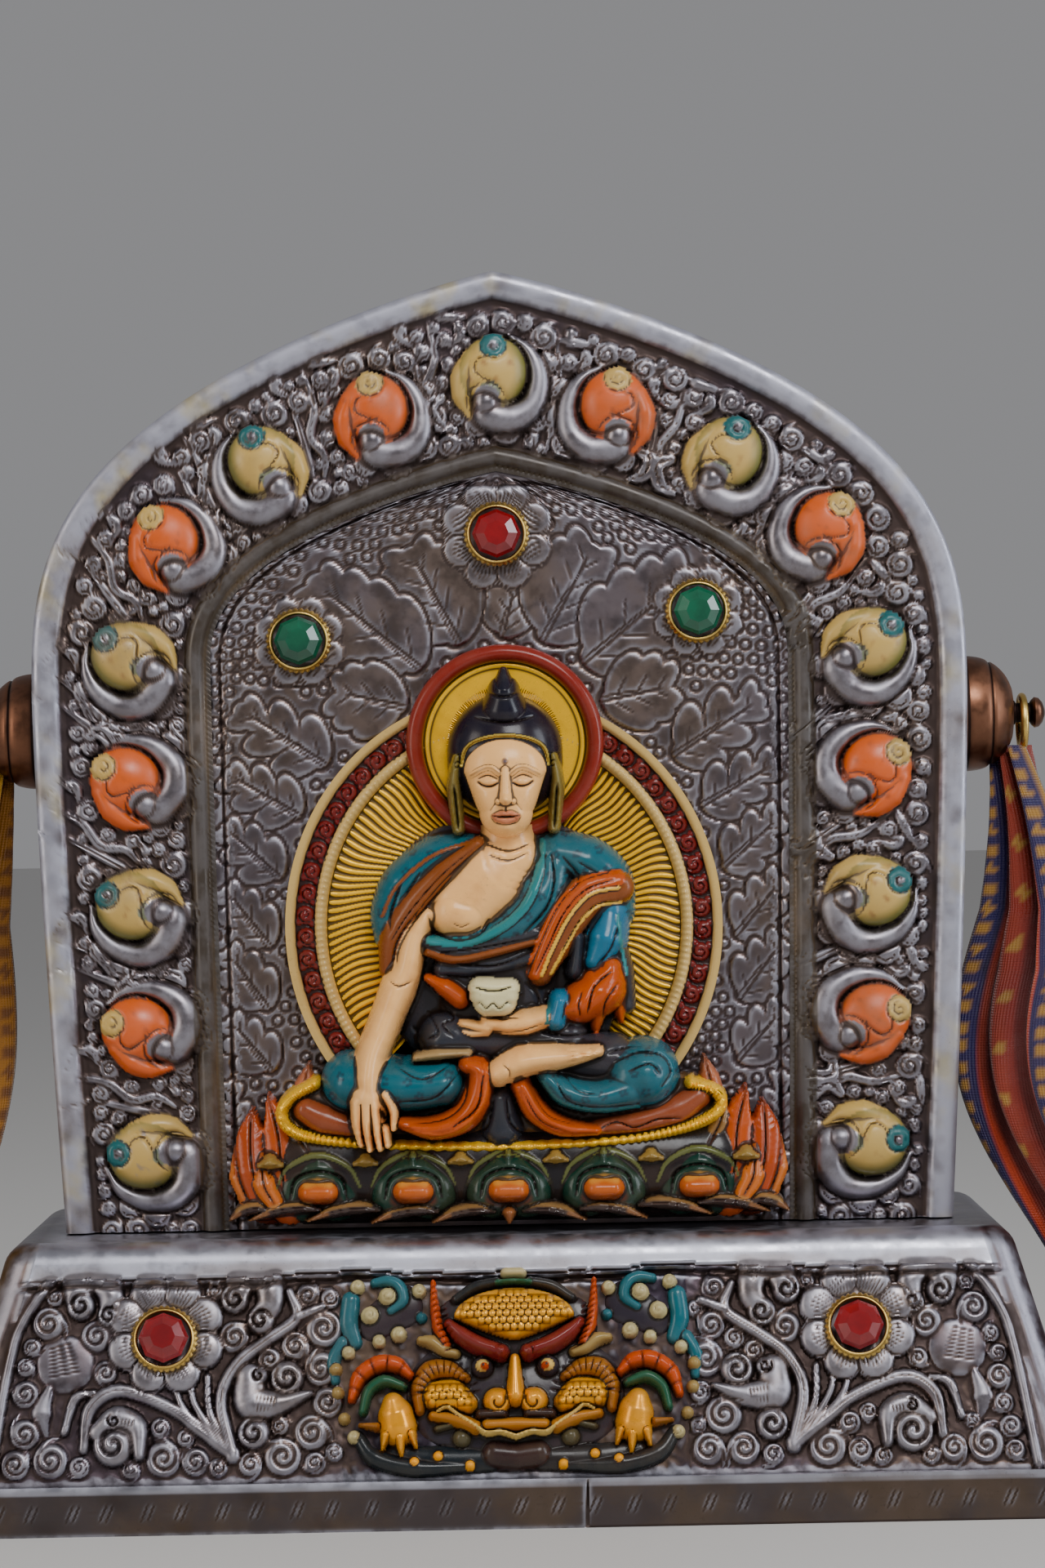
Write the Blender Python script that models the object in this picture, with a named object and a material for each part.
"""Amulet box on its stand.

An arched metal box in two halves: a worked silver front cover that slides over a plain case.
The cover carries a border of conch jewels, three stones set in flowers and a relief of a seated
figure on a lotus before its aureole. Bosses on the sides hold rings with brocade streamers.
The stand is a hollow, sloping shell with a horned guardian mask between two stones in flowers.

The front faces -Y, +Z is up, and the origin is at the middle of the foot. Lengths are in metres.
"""

import math

import bmesh
import bpy
import numpy as np
from mathutils import Matrix, Vector

# Clearances
GAP = 0.0003
SLIDE_CLEARANCE = 0.0003

# Stand
STAND_HEIGHT = 0.044
STAND_TOP_WIDTH = 0.158
STAND_TOP_DEPTH = 0.064
STAND_SPREAD = 0.0105
STAND_WALL = 0.0015
STAND_EDGE_ROUND = 0.003
STAND_CORNER_ROUND = 0.005
PLINTH_HEIGHT = 0.008
PLINTH_THICKNESS = 0.001

# Box: the plate is the cover's front, an arch with a softly pointed peak
PLATE_WIDTH = 0.1504
PLATE_FOOT_WIDTH = 0.1426
PLATE_HEIGHT = 0.1532
PLATE_SHOULDER = 0.0848
PLATE_BULGE = 2.95
BOX_DEPTH = 0.042
FRONT_LEDGE = 0.014
COVER_WALL = 0.0012
COVER_SKIRT = 0.012
CASE_WALL = 0.001
RIM_WIDTH = 0.0052
RIM_HEIGHT = 0.0016

# Border moulding and the panel inside it
MOULDING_WIDTH = 0.1012
MOULDING_FOOT_WIDTH = 0.0984
MOULDING_TOP = 0.1252
MOULDING_SHOULDER = 0.0905
MOULDING_BREADTH = 0.0042
MOULDING_BULGE = 2.4

# Conch jewels along the border
CONCH_PITCH = 0.020
CONCH_FOOT_CLEARANCE = 0.003
CONCH_RADIUS = 0.0056
CONCH_HEIGHT = 0.0042

# Set stones: three on the panel and two on the stand
STONE_RADIUS = 0.0039
BEZEL_WALL = 0.0007
BEZEL_HEIGHT = 0.0022
STONE_RISE = 0.0024
FLOWER_RADIUS = 0.0092
FLOWER_HEIGHT = 0.001
TOP_STONE_DROP = 0.0144
SIDE_STONE_HEIGHTS = (0.0943, 0.0979)
SIDE_STONE_OFFSET = 0.032
STAND_STONE_OFFSET = 0.054
STAND_STONE_HEIGHT = 0.029

# Relief: the figure is laid out in parts of its height, and the lotus in parts of its width
FIGURE_HEIGHT = 0.076
FIGURE_PARTS = 76
LOTUS_WIDTH = 0.088
LOTUS_PARTS = 88
SEAT_HEIGHT = 0.0134
AUREOLE_WIDTH = 0.070
AUREOLE_TALLNESS = 0.0744
AUREOLE_MIDDLE = 0.0482
AUREOLE_BAND = 0.0056
HALO_RADIUS = 0.0158
HALO_RING = 0.0026
HALO_MIDDLE = 0.0773
RELIEF_VOXEL = 0.00055
RELIEF_DEPTH_SHARE = 0.84
RELIEF_FACES = 2700

# Mask and vines on the stand's front
MASK_HEIGHT = 0.030
MASK_PARTS = 30
VINE_THICKNESS = 0.0024
STAND_RELIEF_FACES = 1700
CORNER_RIDGE_WIDTH = 0.0044
CORNER_RIDGE_HEIGHT = 0.0010

# Side bosses with their rings and streamers
BOSS_HEIGHT = 0.081
BOSS_RADIUS = 0.0108
BOSS_LENGTH = 0.0150
BOSS_SETBACK = 0.027
NECK_RADIUS = 0.0016
NECK_LENGTH = 0.0025
KNOB_LENGTH = 0.0025
RING_RADIUS = 0.0042
RING_THICKNESS = 0.0014
STREAMER_WIDTH = 0.024
STREAMER_THICKNESS = 0.0016
STREAMER_CLEAR_OF_FLOOR = 0.012
STREAMER_CLEARANCE = 0.003
STREAMER_SWING = 0.0155
STREAMER_FORWARD = 0.034

# Places that follow from the sizes above
NECK_OUT = BOSS_LENGTH - KNOB_LENGTH - NECK_LENGTH / 2
STAND_FOOT_HALF_WIDTH = STAND_TOP_WIDTH / 2 + STAND_SPREAD
STAND_FOOT_HALF_DEPTH = STAND_TOP_DEPTH / 2 + STAND_SPREAD
BOX_FOOT = STAND_HEIGHT + GAP
BOX_FRONT = -STAND_TOP_DEPTH / 2 + FRONT_LEDGE
BOX_BACK = BOX_FRONT + BOX_DEPTH
GROUND_Y = BOX_FRONT + RIM_HEIGHT
COVER_INSIDE_Y = GROUND_Y + COVER_WALL
SKIRT_END_Y = BOX_FRONT + COVER_SKIRT
NECK_INSET = COVER_WALL + SLIDE_CLEARANCE

SILVER = (0.42, 0.40, 0.42)
COPPER = (0.30, 0.16, 0.10)
GOLD = (0.72, 0.47, 0.10)
BRASS = (0.60, 0.45, 0.18)
RED_STONE = (0.45, 0.02, 0.03)
GREEN_STONE = (0.02, 0.30, 0.14)
BROCADE = (0.14, 0.06, 0.28)


def clear_scene():
    for obj in list(bpy.data.objects):
        bpy.data.objects.remove(obj, do_unlink=True)


def finish(name, colour, roughness, metallic):
    material = bpy.data.materials.new(name)
    material.use_nodes = True
    shader = material.node_tree.nodes["Principled BSDF"]
    shader.inputs["Base Color"].default_value = (*colour, 1)
    shader.inputs["Roughness"].default_value = roughness
    shader.inputs["Metallic"].default_value = metallic
    return material


def add_object(name, shape, material, smooth_angle=None):
    """Turn a bmesh into a named object with its faces pointing out."""
    bmesh.ops.recalc_face_normals(shape, faces=shape.faces)
    mesh = bpy.data.meshes.new(name)
    shape.to_mesh(mesh)
    shape.free()
    mesh.materials.append(material)
    if smooth_angle:
        mesh.shade_smooth()
        mesh.set_sharp_from_angle(angle=math.radians(smooth_angle))
    obj = bpy.data.objects.new(name, mesh)
    bpy.context.scene.collection.objects.link(obj)
    return obj


def unite(obj, helper):
    """Weld a helper shape to an object; the helper itself is no piece of the box."""
    helper.hide_render = True
    helper.display_type = "WIRE"
    weld = obj.modifiers.new("weld " + helper.name, "BOOLEAN")
    weld.operation = "UNION"
    weld.object = helper


def join_loops(shape, first, second):
    """Quads between two closed loops of as many vertices each."""
    count = len(first)
    for i in range(count):
        j = (i + 1) % count
        shape.faces.new((first[i], first[j], second[j], second[i]))


def loops_to_solid(loops):
    """A closed solid through closed loops of points, capped at its first and last loop."""
    shape = bmesh.new()
    rings = [[shape.verts.new(point) for point in loop] for loop in loops]
    for first, second in zip(rings, rings[1:]):
        join_loops(shape, first, second)
    shape.faces.new(rings[0])
    shape.faces.new(rings[-1])
    return shape


def turned(profile, steps):
    """A solid turned about local Z from (height, radius) pairs that start and end off the axis."""
    loops = []
    for height, radius in profile:
        angles = [2 * math.pi * i / steps for i in range(steps)]
        loops.append([(radius * math.cos(a), radius * math.sin(a), height) for a in angles])
    return loops_to_solid(loops)


def arch(foot_width, width, shoulder, top, bulge, count, foot=0.0):
    """Points (x, z) of an arch, evenly spaced from its left foot over the peak to the right."""
    flank_ease, peak_softness, samples = 1.3, 1.1, 300
    share = np.linspace(0, 1, samples)
    flank_x = foot_width / 2 + (width - foot_width) / 2 * (1 - (1 - share) ** flank_ease)
    flank_z = foot + (shoulder - foot) * share
    lift = np.sin(share * math.pi / 2)
    head_x = width / 2 * np.clip(1 - lift**bulge, 0, 1) ** (1 / peak_softness)
    head_z = shoulder + (top - shoulder) * lift
    x = np.concatenate([flank_x, head_x[1:]])
    z = np.concatenate([flank_z, head_z[1:]])
    length = np.concatenate([[0], np.cumsum(np.hypot(np.diff(x), np.diff(z)))])
    even = np.linspace(0, length[-1], count // 2 + 1)
    x, z = np.interp(even, length, x), np.interp(even, length, z)
    return [(-a, b) for a, b in zip(x, z)] + [(a, b) for a, b in zip(x[-2::-1], z[-2::-1])]


def plate_arch(inset=0.0, foot=0.0, count=61):
    """The plate's outline drawn in by an even margin, with its feet at a height."""
    return arch(
        PLATE_FOOT_WIDTH - 2 * inset,
        PLATE_WIDTH - 2 * inset,
        PLATE_SHOULDER,
        PLATE_HEIGHT - inset,
        PLATE_BULGE,
        count,
        foot,
    )


def moulding_arch(inset=0.0, count=61):
    """The outline of the moulding that parts the border from the panel."""
    return arch(
        MOULDING_FOOT_WIDTH - 2 * inset,
        MOULDING_WIDTH - 2 * inset,
        MOULDING_SHOULDER,
        MOULDING_TOP - inset,
        MOULDING_BULGE,
        count,
    )


def cover_rows():
    """The cover's front from its edge to its panel: outlines, each with its height over ground."""
    edge, crown = 0.0022, 0.25
    rows = [(plate_arch(), RIM_HEIGHT - edge)]
    for share, height in ((crown, 1.0), (1 - crown, 1.0)):
        rows.append((plate_arch(RIM_WIDTH * share), RIM_HEIGHT * height))
    rows.append((plate_arch(RIM_WIDTH), 0.0))
    rows.append((moulding_arch(), 0.0))
    for share, height in ((0.25, 0.9), (0.65, 0.9)):
        rows.append((moulding_arch(MOULDING_BREADTH * share), RIM_HEIGHT * height))
    rows.append((moulding_arch(MOULDING_BREADTH), 0.0))
    return rows


def make_front_cover(material):
    """Front sheet, skirt and floor of the cover, hollow behind, with its border in relief."""
    shape = bmesh.new()

    def ring(outline, y):
        return [shape.verts.new((x, y, BOX_FOOT + z)) for x, z in outline]

    front = [ring(outline, GROUND_Y - height) for outline, height in cover_rows()]
    for outer, inner in zip(front, front[1:]):
        for i in range(len(outer) - 1):
            shape.faces.new((outer[i], outer[i + 1], inner[i + 1], inner[i]))
    shape.faces.new(front[-1])
    skirt_out = ring(plate_arch(), SKIRT_END_Y)
    skirt_in = ring(plate_arch(COVER_WALL, COVER_WALL), SKIRT_END_Y)
    inside = ring(plate_arch(COVER_WALL, COVER_WALL), COVER_INSIDE_Y)
    for i in range(len(skirt_out) - 1):
        shape.faces.new((front[0][i], front[0][i + 1], skirt_out[i + 1], skirt_out[i]))
    join_loops(shape, skirt_out, skirt_in)
    join_loops(shape, skirt_in, inside)
    shape.faces.new(inside)
    left_feet = [row[0] for row in front]
    right_feet = [row[-1] for row in reversed(front)]
    shape.faces.new(left_feet + right_feet + [skirt_out[-1], skirt_out[0]])
    cover = add_object("front_cover", shape, material, 40)
    unite(cover, conch_jewels(material))
    unite(cover, panel_flowers(material))
    return cover


def conch_places():
    """Middle and outward direction of each jewel, spaced along the middle of the border."""
    samples = 1201
    outer = np.array(plate_arch(RIM_WIDTH, count=samples))
    inner = np.array(moulding_arch(count=samples))
    middle, outward = (outer + inner) / 2, outer - inner
    outward /= np.linalg.norm(outward, axis=1)[:, None]
    steps = np.linalg.norm(np.diff(middle, axis=0), axis=1)
    along = np.concatenate([[0], np.cumsum(steps)])
    peak = along[samples // 2]
    per_side = int((peak - CONCH_RADIUS - CONCH_FOOT_CLEARANCE) / CONCH_PITCH)
    places = []
    for number in range(-per_side, per_side + 1):
        at = peak + number * CONCH_PITCH
        point = [np.interp(at, along, middle[:, k]) for k in (0, 1)]
        heading = [np.interp(at, along, outward[:, k]) for k in (0, 1)]
        places.append((point, heading))
    return places


def conch_jewels(material):
    """Domed shells, each drawn out towards the rim where its cap sits."""
    shape = bmesh.new()
    segments, root = 10, 0.0005
    for (x, z), (out_x, out_z) in conch_places():
        heading = math.atan2(out_z, out_x)
        loops = []
        for spread, rise in ((1.0, -root), (1.0, 0.0), (0.86, 0.5), (0.55, 0.88)):
            height = rise * CONCH_HEIGHT if rise > 0 else rise
            loop = []
            for i in range(segments):
                angle = 2 * math.pi * i / segments
                cap = 0.32 * max(math.cos(angle - heading), 0) ** 2
                reach = CONCH_RADIUS * spread * (1 + cap)
                px, pz = x + reach * math.cos(angle), z + reach * math.sin(angle)
                loop.append((px, GROUND_Y - height, BOX_FOOT + pz))
            loops.append(loop)
        rings = [[shape.verts.new(point) for point in loop] for loop in loops]
        for first, second in zip(rings, rings[1:]):
            join_loops(shape, first, second)
        shape.faces.new(rings[0])
        tip = shape.verts.new((x, GROUND_Y - CONCH_HEIGHT, BOX_FOOT + z))
        for i in range(segments):
            shape.faces.new((rings[-1][i], rings[-1][(i + 1) % segments], tip))
    return add_object("conch jewels helper", shape, material)


def flower_loops(petals, root):
    """Closed loops of an open flower that faces local +Z, with its seat at the flower's height."""
    loops = []
    for spread, height in ((1.0, -root), (1.0, FLOWER_HEIGHT * 0.45), (0.9, FLOWER_HEIGHT)):
        loop = []
        for i in range(4 * petals):
            angle = math.pi * i / (2 * petals)
            lobe = 0.84 + 0.16 * abs(math.cos(petals * angle / 2)) ** 0.5
            reach = FLOWER_RADIUS * spread * lobe
            loop.append((reach * math.cos(angle), reach * math.sin(angle), height))
        loops.append(loop)
    return loops


def panel_stone_places():
    """Stone middles on the panel as (x, z), by side."""
    left, right = SIDE_STONE_HEIGHTS
    return {
        "top": (0.0, BOX_FOOT + MOULDING_TOP - TOP_STONE_DROP),
        "left": (-SIDE_STONE_OFFSET, BOX_FOOT + left),
        "right": (SIDE_STONE_OFFSET, BOX_FOOT + right),
    }


def panel_facing(x, z):
    """Places a shape built about local Z so that it faces out of the cover's panel."""
    return Matrix.Translation((x, GROUND_Y, z)) @ Matrix.Rotation(math.pi / 2, 4, "X")


def stand_facing(x, z):
    """Places a shape built about local Z so that it faces out of the stand's sloping front."""
    lean = math.atan2(STAND_SPREAD, STAND_HEIGHT - PLINTH_HEIGHT)
    share = (z - PLINTH_HEIGHT) / (STAND_HEIGHT - PLINTH_HEIGHT)
    y = -STAND_FOOT_HALF_DEPTH + STAND_SPREAD * share
    return Matrix.Translation((x, y, z)) @ Matrix.Rotation(math.pi / 2 - lean, 4, "X")


def add_solid(shape, loops, placing):
    """Adds one closed solid through loops to a bmesh that holds several."""
    rings = [[shape.verts.new(placing @ Vector(point)) for point in loop] for loop in loops]
    for first, second in zip(rings, rings[1:]):
        join_loops(shape, first, second)
    shape.faces.new(rings[0])
    shape.faces.new(rings[-1])


def panel_flowers(material):
    """Eight-petalled flowers that the panel's stones are set in."""
    shape = bmesh.new()
    for x, z in panel_stone_places().values():
        add_solid(shape, flower_loops(8, COVER_WALL / 2), panel_facing(x, z))
    return add_object("panel flowers helper", shape, material)


def make_case(material):
    """The plain rear half: a tray with a drawn-in neck that the cover slides over."""
    neck_front = COVER_INSIDE_Y + GAP
    shoulder = SKIRT_END_Y + GAP
    neck_in = NECK_INSET + CASE_WALL
    steps = (
        (0.0, BOX_BACK),
        (0.0, shoulder),
        (NECK_INSET, shoulder),
        (NECK_INSET, neck_front),
        (neck_in, neck_front),
        (neck_in, shoulder + CASE_WALL),
        (CASE_WALL, shoulder + CASE_WALL),
        (CASE_WALL, BOX_BACK - CASE_WALL),
    )
    loops = []
    for inset, y in steps:
        outline = plate_arch(inset, inset)
        loops.append([(x, y, BOX_FOOT + z) for x, z in outline])
    return add_object("case", loops_to_solid(loops), material, 40)


def ball(shape, centre, radii, turn=0.0):
    """An ellipsoid at (x, z, forward) with radii in the same order, turned in the front plane."""
    x, z, forward = centre
    wide, tall, deep = radii
    placing = Matrix.Translation((x, -forward, z)) @ Matrix.Rotation(turn, 4, "Y")
    placing = placing @ Matrix.Diagonal((wide, deep, tall, 1))
    bmesh.ops.create_icosphere(shape, subdivisions=3, radius=1.0, matrix=placing)


def limb(shape, start, end, start_radius, end_radius):
    """A tapering rod with round ends between two points (x, z, forward)."""
    first = Vector((start[0], -start[2], start[1]))
    last = Vector((end[0], -end[2], end[1]))
    along = last - first
    placing = Matrix.Translation((first + last) / 2) @ along.to_track_quat("Z", "Y").to_matrix().to_4x4()
    bmesh.ops.create_cone(
        shape,
        cap_ends=True,
        segments=20,
        radius1=start_radius,
        radius2=end_radius,
        depth=along.length,
        matrix=placing,
    )
    ball(shape, start, (start_radius,) * 3)
    ball(shape, end, (end_radius,) * 3)


def rod(shape, points, radius):
    """A rod of even thickness through points (x, z, forward)."""
    for first, second in zip(points, points[1:]):
        limb(shape, first, second, radius, radius)


def add_figure(shape):
    """The seated figure: right hand to the earth, left hand holding a bowl in the lap."""
    part = FIGURE_HEIGHT / FIGURE_PARTS

    def at(x, z, forward):
        return (x * part, SEAT_HEIGHT + z * part, forward * part * RELIEF_DEPTH_SHARE)

    def lump(x, z, forward, wide, tall, deep, turn=0.0):
        radii = (wide * part, tall * part, deep * part * RELIEF_DEPTH_SHARE)
        ball(shape, at(x, z, forward), radii, turn)

    def arm(points, radii):
        for k in range(len(points) - 1):
            limb(shape, at(*points[k]), at(*points[k + 1]), radii[k] * part, radii[k + 1] * part)

    # Head with its hair, crown knot, ears and neck
    lump(0, 58.2, 8.6, 8.0, 10.6, 7.6)
    lump(0, 63.5, 8.0, 9.2, 6.6, 7.6)
    lump(0, 69.6, 7.6, 5.4, 4.6, 5.0)
    lump(0, 73.2, 7.6, 2.4, 3.0, 2.4)
    lump(0, 57.0, 15.8, 1.3, 3.4, 1.6)
    for side in (-1, 1):
        lump(side * 8.4, 54.6, 6.8, 1.5, 6.2, 2.2)
    arm([(0, 42, 6.4), (0, 50, 7.4)], [5.6, 5.2])

    # Trunk: the robe spread behind the arms, then chest, belly and shoulders
    lump(0.6, 27.0, 1.6, 20.0, 19.5, 5.4)
    lump(0, 36.0, 5.8, 13.2, 10.5, 7.0)
    lump(0, 24.5, 6.4, 11.0, 11.5, 6.6)
    lump(-6.6, 36.0, 9.2, 5.6, 4.6, 4.2)
    lump(6.6, 36.0, 9.2, 5.6, 4.6, 4.2)
    lump(0, 15.5, 6.6, 13.5, 6.5, 7.0)

    # Bare right arm reaches over the shin to the earth
    arm([(-14.6, 40.6, 5.6), (-18.0, 26.0, 5.4), (-20.4, 13.0, 11.6)], [5.6, 4.4, 2.7])
    arm([(-20.4, 13.0, 11.6), (-20.0, 7.0, 13.4), (-19.8, 0.6, 13.0)], [2.9, 2.8, 1.3])

    # Left arm in its sleeve, hand in the lap under the bowl
    arm([(14.6, 40.6, 5.6), (19.0, 27.0, 6.0), (10.0, 19.0, 12.2)], [6.2, 5.6, 4.4])
    arm([(10.0, 19.0, 12.2), (2.0, 18.0, 13.6)], [3.2, 2.8])
    arm([(-1.7, 19.6, 14.0), (-1.7, 25.4, 14.0)], [3.6, 4.5])

    # Robe over the shoulder, in broad folds to the waist
    for lift in (0.0, 3.4, 6.8):
        high, low = at(12.5 + lift * 0.6, 44 - lift, 8.6), at(4.5 + lift, 24 - lift * 0.4, 12.4)
        rod(shape, [high, low], 2.3 * part)

    # Crossed legs: knees wide, shins folded in front, the right foot upturned
    arm([(-10.0, 11.0, 7.0), (-25.6, 8.6, 8.0)], [7.4, 6.6])
    arm([(10.0, 11.0, 7.0), (25.6, 8.6, 8.0)], [7.4, 6.6])
    arm([(-25.0, 7.6, 9.4), (-6.0, 5.0, 13.4), (8.0, 9.4, 14.4)], [5.8, 5.2, 3.4])
    arm([(25.0, 7.6, 9.4), (8.0, 4.0, 12.2), (-6.0, 3.4, 12.0)], [5.8, 5.0, 4.4])
    arm([(0.0, 11.0, 14.0), (14.0, 14.4, 13.0)], [2.3, 1.9])
    rod(shape, [at(-4, 0.8, 13.4), at(4, 0.2, 14.0), at(12, 1.0, 13.2)], 2.2 * part)


def add_lotus(shape):
    """The double lotus: a bowed base, broad petals round its front, and a flaring foot row."""
    part = LOTUS_WIDTH / LOTUS_PARTS

    def petal(x, z, forward, wide, tall, deep, turn=0.0):
        centre = (x * part, z * part, forward * part)
        ball(shape, centre, (wide * part, tall * part, deep * part), turn)

    petal(0, 10.0, 1.0, 39.0, 9.5, 9.8)
    petal(0, 14.0, 2.0, 36.0, 6.5, 9.0)
    for place in (-2, -1, 0, 1, 2):
        x = 15.1 * place
        forward = 10.2 - 0.9 * place**2
        petal(x, 8.6, forward, 7.5, 6.8, 2.8, 0.07 * place)
        petal(x, 7.6, forward + 1.5, 4.6, 4.4, 2.0, 0.07 * place)
    for place in range(-3, 3):
        x = 15.1 * (place + 0.5)
        petal(x, 12.6, 8.0 - 0.8 * (place + 0.5) ** 2, 3.0, 4.4, 3.2)
    for side in (-1, 1):
        petal(side * 37.5, 14.0, 3.2, 4.6, 10.5, 2.8, side * 0.35)
        petal(side * 40.0, 8.5, 3.6, 4.0, 6.0, 3.0, side * 0.6)
    for place in range(-4, 5):
        x = 9.6 * place
        petal(x, 2.6, 9.6 - 0.42 * place**2, 5.4, 2.0, 3.2)


def elliptical_dish(shape, middle, half_width, half_height, profile, steps=72):
    """A shallow dish about an ellipse: (share of the radius, margin inside it, forward) rings."""
    loops = []
    for share, margin, forward in profile:
        loop = []
        for i in range(steps):
            angle = 2 * math.pi * i / steps
            reach_x = max(half_width - margin, 0) * share
            reach_z = max(half_height - margin, 0) * share
            loop.append((reach_x * math.cos(angle), -forward, middle + reach_z * math.sin(angle)))
        loops.append(loop)
    add_solid(shape, loops, Matrix.Identity(4))


def add_aureole(shape):
    """The egg-shaped aureole behind the body and the round halo behind the head."""
    back, field, band, bead, bead_width = -0.0012, 0.0011, 0.0015, 0.0026, 0.0011
    inner = AUREOLE_BAND
    profile = (
        (1, 0.0, back),
        (1, 0.0, bead),
        (1, bead_width, bead),
        (1, bead_width, band),
        (1, inner - bead_width, band),
        (1, inner - bead_width, bead),
        (1, inner, bead),
        (1, inner, field),
        (0.02, inner, field),
    )
    elliptical_dish(shape, AUREOLE_MIDDLE, AUREOLE_WIDTH / 2, AUREOLE_TALLNESS / 2, profile)
    disc, ring_top = 0.0030, 0.0050
    halo = (
        (1, 0.0, back),
        (1, 0.0, ring_top - 0.0012),
        (1, HALO_RING * 0.3, ring_top),
        (1, HALO_RING * 0.7, ring_top),
        (1, HALO_RING, disc),
        (0.02, HALO_RING, disc),
    )
    elliptical_dish(shape, HALO_MIDDLE, HALO_RADIUS, HALO_RADIUS, halo)


def fused(name, shape, faces, material):
    """Fuses overlapping lumps into one skin of few faces, and cuts it flat at local y = 0."""
    mesh = bpy.data.meshes.new(name)
    shape.to_mesh(mesh)
    shape.free()
    lumps = bpy.data.objects.new(name + " lumps", mesh)
    bpy.context.scene.collection.objects.link(lumps)
    skin = lumps.modifiers.new("fuse", "REMESH")
    skin.mode = "VOXEL"
    skin.voxel_size = RELIEF_VOXEL
    fused_mesh = evaluated_mesh(lumps)
    few = lumps.modifiers.new("fewer faces", "DECIMATE")
    few.ratio = faces / (2 * len(fused_mesh.polygons))
    few_mesh = evaluated_mesh(lumps)
    bpy.data.objects.remove(lumps, do_unlink=True)
    result = bmesh.new()
    result.from_mesh(few_mesh)
    everything = result.verts[:] + result.edges[:] + result.faces[:]
    cut = bmesh.ops.bisect_plane(
        result, geom=everything, plane_co=(0, 0, 0), plane_no=(0, 1, 0), clear_outer=True
    )
    rim = [item for item in cut["geom_cut"] if isinstance(item, bmesh.types.BMEdge)]
    bmesh.ops.holes_fill(result, edges=rim, sides=0)
    return add_object(name, result, material, 40)


def evaluated_mesh(obj):
    bpy.context.view_layer.update()
    graph = bpy.context.evaluated_depsgraph_get()
    return bpy.data.meshes.new_from_object(obj.evaluated_get(graph))


def make_relief(material):
    """Figure, lotus and aureole worked as one relief, standing just off the panel."""
    shape = bmesh.new()
    add_aureole(shape)
    add_lotus(shape)
    add_figure(shape)
    relief = fused("seated_figure_relief", shape, RELIEF_FACES, material)
    relief.location = (0, GROUND_Y - GAP, BOX_FOOT)
    return relief


def make_setting(name, placing, base, stone_material, bezel_material):
    """A stone in its bezel, standing on a flower's seat that faces local +Z."""
    inner = STONE_RADIUS + GAP
    outer = inner + BEZEL_WALL
    floor = base + GAP
    rim = floor + BEZEL_HEIGHT
    cup_floor = floor + BEZEL_WALL
    cup = ((floor, outer), (rim, outer), (rim, inner), (cup_floor, inner))
    bezel = add_object("bezel_" + name, turned(cup, 16), bezel_material, 40)
    bezel.matrix_world = placing
    stone_foot = cup_floor + GAP
    crown = rim + STONE_RISE
    girdle = rim + STONE_RISE * 0.25
    facets = (
        (stone_foot, STONE_RADIUS * 0.8),
        (girdle, STONE_RADIUS),
        (girdle + STONE_RISE * 0.3, STONE_RADIUS * 0.86),
        (crown, STONE_RADIUS * 0.5),
    )
    stone = add_object("stone_" + name, turned(facets, 8), stone_material)
    stone.matrix_world = placing


def rounded_rectangle(half_x, half_y, radius, z):
    """A closed loop at a height, with its corners in arcs."""
    steps = 4
    loop = []
    for quarter, (sx, sy) in enumerate(((1, 1), (-1, 1), (-1, -1), (1, -1))):
        for i in range(steps + 1):
            angle = math.pi / 2 * (quarter + i / steps)
            x = sx * (half_x - radius) + radius * math.cos(angle)
            y = sy * (half_y - radius) + radius * math.sin(angle)
            loop.append((x, y, z))
    return loop


def stand_loop(z, inset):
    """The stand's outline at a height: upright behind its band, and sloping in above it."""
    share = max(z - PLINTH_HEIGHT, 0) / (STAND_HEIGHT - PLINTH_HEIGHT)
    spread = STAND_SPREAD * (1 - share)
    half_x = STAND_TOP_WIDTH / 2 + spread - inset
    half_y = STAND_TOP_DEPTH / 2 + spread - inset
    return rounded_rectangle(half_x, half_y, STAND_CORNER_ROUND - inset, z)


def make_stand(material):
    """A hollow shell, open below, with a rounded top edge and its front in relief."""
    under_deck = STAND_HEIGHT - STAND_WALL
    bend = PLINTH_HEIGHT
    loops = [stand_loop(under_deck, STAND_WALL), stand_loop(bend, STAND_WALL), stand_loop(0, STAND_WALL)]
    loops += [stand_loop(0, 0), stand_loop(bend, 0)]
    round_steps = 4
    for i in range(round_steps + 1):
        angle = math.pi / 2 * i / round_steps
        inset = STAND_EDGE_ROUND * (1 - math.cos(angle))
        z = STAND_HEIGHT - STAND_EDGE_ROUND * (1 - math.sin(angle))
        loops.append(stand_loop(z, inset))
    stand = add_object("stand", loops_to_solid(loops), material, 40)
    unite(stand, stand_relief(material))
    unite(stand, stand_flowers(material))
    return stand


def stand_flowers(material):
    """Eight-petalled flowers round the stand's two stones."""
    shape = bmesh.new()
    for side in (-1, 1):
        placing = stand_facing(side * STAND_STONE_OFFSET, STAND_STONE_HEIGHT)
        add_solid(shape, flower_loops(8, STAND_WALL / 2), placing)
    return add_object("stand flowers helper", shape, material)


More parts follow.
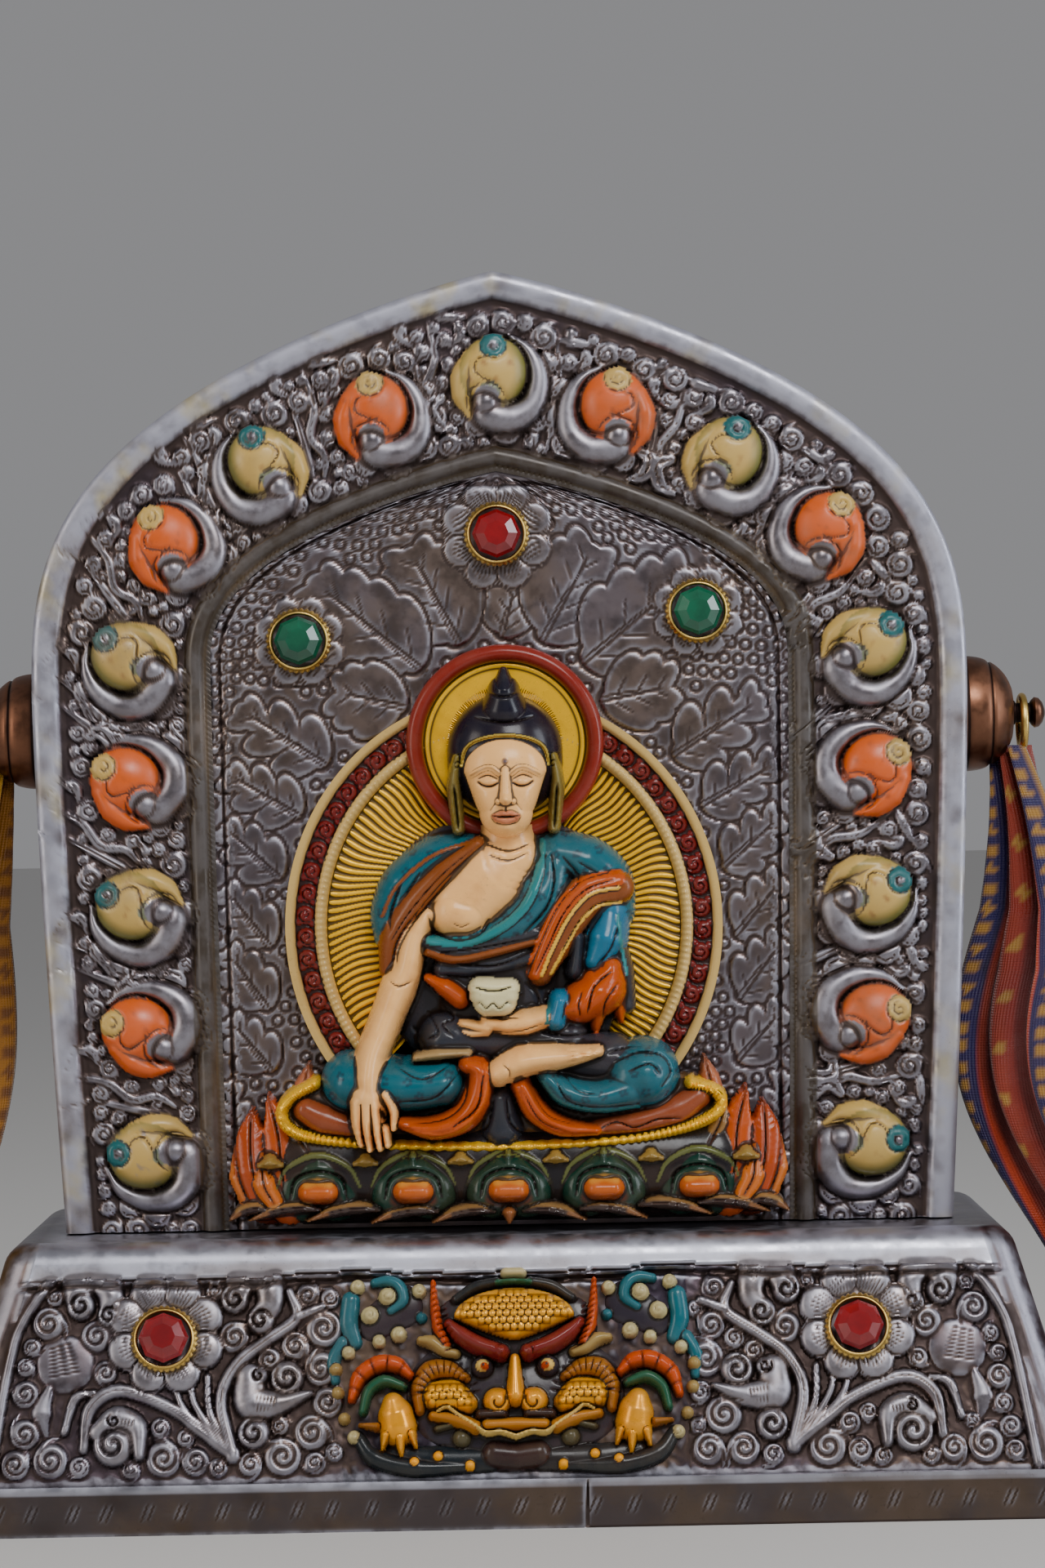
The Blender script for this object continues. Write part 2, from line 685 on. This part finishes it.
def stand_relief(material):
    """The horned mask with its fists, and the vines that run out to the stand's corners."""
    shape = bmesh.new()
    part = MASK_HEIGHT / MASK_PARTS

    def spot(x, z, forward):
        return x * part, z * part, forward * part

    def lump(x, z, forward, wide, tall, deep, turn=0.0):
        ball(shape, spot(x, z, forward), (wide * part, tall * part, deep * part), turn)

    # Forehead, muzzle, nose and lower jaw
    lump(0, 8.5, 1.4, 9.0, 5.4, 4.2)
    lump(0, 0.0, 1.8, 9.0, 7.0, 4.0)
    lump(0, -3.6, 5.0, 3.6, 2.6, 2.6)
    lump(0, -11.0, 1.0, 10.0, 3.4, 2.4)
    lump(0, 13.6, 1.2, 2.2, 1.8, 2.2)
    for side in (-1, 1):
        # Brow, eye, cheek, horn, ear, fist with cuff, and cloud curls
        rod(shape, [spot(side * 1.2, 4.2, 4.6), spot(side * 9.5, 3.4, 3.0)], 1.5 * part)
        lump(side * 5.1, 0.4, 4.4, 2.7, 2.1, 2.0)
        lump(side * 9.8, -3.2, 2.4, 5.0, 4.4, 3.2)
        limb(shape, spot(side * 8.6, 5, 2), spot(side * 11.6, 14, 1), 1.9 * part, 0.7 * part)
        lump(side * 13.4, 4.2, 1.4, 2.6, 2.2, 2.0)
        lump(side * 18.4, -6.4, 2.2, 4.6, 3.2, 3.0)
        lump(side * 19.8, 0.0, 1.0, 5.2, 2.2, 2.0)
        for x, z, size in ((16.0, 10.0, 3.2), (22.0, 11.5, 3.6), (27.0, 6.0, 3.2), (20.0, 6.0, 2.6)):
            lump(side * x, z, 0.4, size, size * 0.8, 1.8)
        add_vine(shape, side)
    relief = fused("stand relief helper", shape, STAND_RELIEF_FACES, material)
    sunk = Matrix.Translation((0, 0, -STAND_WALL / 2))
    upright = Matrix.Rotation(-math.pi / 2, 4, "X")
    relief.matrix_world = stand_facing(0, PLINTH_HEIGHT + MASK_HEIGHT / 2) @ sunk @ upright
    return relief


def add_vine(shape, side):
    """Stems that rise from the band round the stone's flower, with leaf scrolls along them."""
    part = MASK_HEIGHT / MASK_PARTS
    middle = STAND_STONE_HEIGHT - PLINTH_HEIGHT - MASK_HEIGHT / 2

    def at(inward, up, forward=0.3):
        x = side * (STAND_STONE_OFFSET - inward * part)
        return (x, middle + up * part, forward * part)

    # Places are given inward and up from the middle of the flower
    stems = (
        [(10.5, -17.0), (8.7, -10.4), (11.1, -4.9), (16.0, -1.2), (20.6, 2.1), (18.8, 7.6)],
        [(10.5, -17.0), (1.4, -12.4), (-7.8, -8.2), (-11.9, -11.6), (-12.2, -17.6)],
        [(9.4, -15.0), (4.6, -9.6)],
    )
    for stem in stems:
        rod(shape, [at(*place) for place in stem], VINE_THICKNESS / 2)
    scrolls = (
        (-12.2, 6.2, 3.6), (-8.6, 10.2, 2.6), (13.6, 7.4, 3.8), (15.6, 2.6, 2.2), (21.6, 8.4, 2.2),
        (16.4, -8.6, 4.4), (13.8, -14.4, 2.2), (22.4, -14.0, 2.6), (-6.6, -15.0, 4.2),
        (-15.0, -4.2, 4.4), (-18.4, -11.6, 3.4), (0.6, -17.0, 2.2), (-16.6, -17.2, 2.8),
    )
    for inward, up, size in scrolls:
        ball(shape, at(inward, up, 0.0), (size * part, size * 0.85 * part, 1.5 * part))
    # The ridge that sweeps from the top edge down to the foot's corner
    ridge = ((-16.0, 13.2), (-20.6, 9.0), (-23.6, 1.0), (-25.4, -10.0), (-27.2, -18.6))
    radius = CORNER_RIDGE_WIDTH / 2
    depth = CORNER_RIDGE_HEIGHT - radius
    rod(shape, [at(inward, up, depth / part) for inward, up in ridge], radius)


def make_plinth_band(material):
    """A strip bent round the stand's foot, open above and below."""
    outward = GAP + PLINTH_THICKNESS
    inner_x, inner_y = STAND_FOOT_HALF_WIDTH + GAP, STAND_FOOT_HALF_DEPTH + GAP
    outer_x, outer_y = STAND_FOOT_HALF_WIDTH + outward, STAND_FOOT_HALF_DEPTH + outward
    inner_round, outer_round = STAND_CORNER_ROUND + GAP, STAND_CORNER_ROUND + outward
    top = PLINTH_HEIGHT - GAP
    loops = [
        rounded_rectangle(inner_x, inner_y, inner_round, 0),
        rounded_rectangle(outer_x, outer_y, outer_round, 0),
        rounded_rectangle(outer_x, outer_y, outer_round, top),
        rounded_rectangle(inner_x, inner_y, inner_round, top),
    ]
    shape = bmesh.new()
    rings = [[shape.verts.new(point) for point in loop] for loop in loops]
    for i, ring in enumerate(rings):
        join_loops(shape, ring, rings[(i + 1) % len(rings)])
    return add_object("plinth_band", shape, material, 40)


def boss_profile():
    """(distance out of the case, radius) of a side boss: flange, dome, neck and knob."""
    flange, neck, knob = 0.0012, NECK_RADIUS, NECK_RADIUS * 1.6
    neck_end = BOSS_LENGTH - KNOB_LENGTH
    dome_end = neck_end - NECK_LENGTH
    dome_radius = BOSS_RADIUS - flange
    profile = [(0, BOSS_RADIUS), (flange, BOSS_RADIUS), (flange, dome_radius)]
    dome_steps = 5
    for i in range(1, dome_steps + 1):
        share = i / dome_steps
        radius = neck + (dome_radius - neck) * (math.cos(share * math.pi) + 1) / 2
        profile.append((flange + (dome_end - flange) * share, radius))
    profile += [(neck_end, neck), (neck_end + KNOB_LENGTH * 0.3, knob)]
    profile += [(neck_end + KNOB_LENGTH * 0.75, knob * 0.8), (BOSS_LENGTH, knob * 0.3)]
    return profile


def boss_middle():
    """Place of a boss on the right side of the case: x at its foot, y and z on its axis."""
    outline = plate_arch(count=601)
    x = max(a for a, b in outline)
    return x + GAP, BOX_FRONT + BOSS_SETBACK, BOX_FOOT + BOSS_HEIGHT


def make_boss(side, word, boss_material, ring_material):
    """A turned boss on the case's side with a ring hanging from its neck."""
    x, y, z = boss_middle()
    boss = add_object("side_boss_" + word, turned(boss_profile(), 16), boss_material, 40)
    boss.matrix_world = Matrix.Translation((side * x, y, z)) @ Matrix.Rotation(side * math.pi / 2, 4, "Y")
    inner = RING_RADIUS - RING_THICKNESS / 2
    drop = inner - NECK_RADIUS - GAP
    around_steps, wire_steps = 16, 5
    ring = bmesh.new()
    loops = []
    for i in range(around_steps):
        around = 2 * math.pi * i / around_steps
        loop = []
        for k in range(wire_steps):
            angle = 2 * math.pi * k / wire_steps
            reach = RING_RADIUS + RING_THICKNESS / 2 * math.cos(angle)
            out = RING_THICKNESS / 2 * math.sin(angle)
            loop.append(ring.verts.new((out, reach * math.cos(around), reach * math.sin(around))))
        loops.append(loop)
    for i, loop in enumerate(loops):
        join_loops(ring, loop, loops[(i + 1) % len(loops)])
    hoop = add_object("ring_" + word, ring, ring_material, 40)
    hoop.location = (side * (x + NECK_OUT), y, z - drop)


def make_streamer(side, word, material):
    """A brocade streamer: gathered at its ring, it swings in and forward, then clears the foot."""
    boss_x, boss_y, boss_z = boss_middle()
    ring_low = boss_z - 2 * RING_RADIUS + NECK_RADIUS
    first_x = boss_x + NECK_OUT
    last_x = STAND_FOOT_HALF_WIDTH + GAP + PLINTH_THICKNESS + STREAMER_CLEARANCE
    stations = 13
    loops = []
    for i in range(stations):
        share = i / (stations - 1)
        half = STREAMER_WIDTH / 2 * min(0.25 + 2.2 * share, 1)
        turn = math.radians(58)
        wide = Vector((math.cos(turn), -math.sin(turn), 0)) * half
        thick = Vector((math.sin(turn), math.cos(turn), 0)) * STREAMER_THICKNESS / 2
        swing = STREAMER_SWING * math.sin(math.pi * share) ** 2.5
        inner_x = first_x - wide.x * (1 - share) ** 4 + (last_x - first_x) * share - swing
        y = boss_y - STREAMER_FORWARD * math.sin(share * math.pi / 2)
        z = ring_low - GAP + (STREAMER_CLEAR_OF_FLOOR - ring_low) * share
        middle = Vector((inner_x + wide.x * min(share * 4, 1), y, z))
        corners = (wide + thick, wide - thick, -wide - thick, thick - wide)
        loops.append([(side * p.x, p.y, p.z) for p in (middle + corner for corner in corners)])
    return add_object("streamer_" + word, loops_to_solid(loops), material, 40)


def build():
    clear_scene()
    silver = finish("worked silver", SILVER, 0.35, 1.0)
    plain = finish("dark copper case", COPPER, 0.45, 1.0)
    make_front_cover(silver)
    make_case(plain)
    make_relief(finish("painted gilding", GOLD, 0.35, 0.6))
    make_stand(finish("stand silver", SILVER, 0.35, 1.0))
    make_plinth_band(finish("band silver", SILVER, 0.45, 1.0))
    brass = finish("bezel brass", BRASS, 0.3, 1.0)
    red = finish("red stone", RED_STONE, 0.1, 0.0)
    green = finish("green stone", GREEN_STONE, 0.1, 0.0)
    colours = {"top": red, "left": green, "right": green}
    for name, (x, z) in panel_stone_places().items():
        make_setting(name, panel_facing(x, z), FLOWER_HEIGHT, colours[name], brass)
    copper = finish("boss copper", COPPER, 0.4, 1.0)
    brocade = finish("brocade", BROCADE, 0.8, 0.0)
    for side, word in ((-1, "left"), (1, "right")):
        placing = stand_facing(side * STAND_STONE_OFFSET, STAND_STONE_HEIGHT)
        make_setting("stand_" + word, placing, FLOWER_HEIGHT, red, brass)
        make_boss(side, word, copper, brass)
        make_streamer(side, word, brocade)


build()
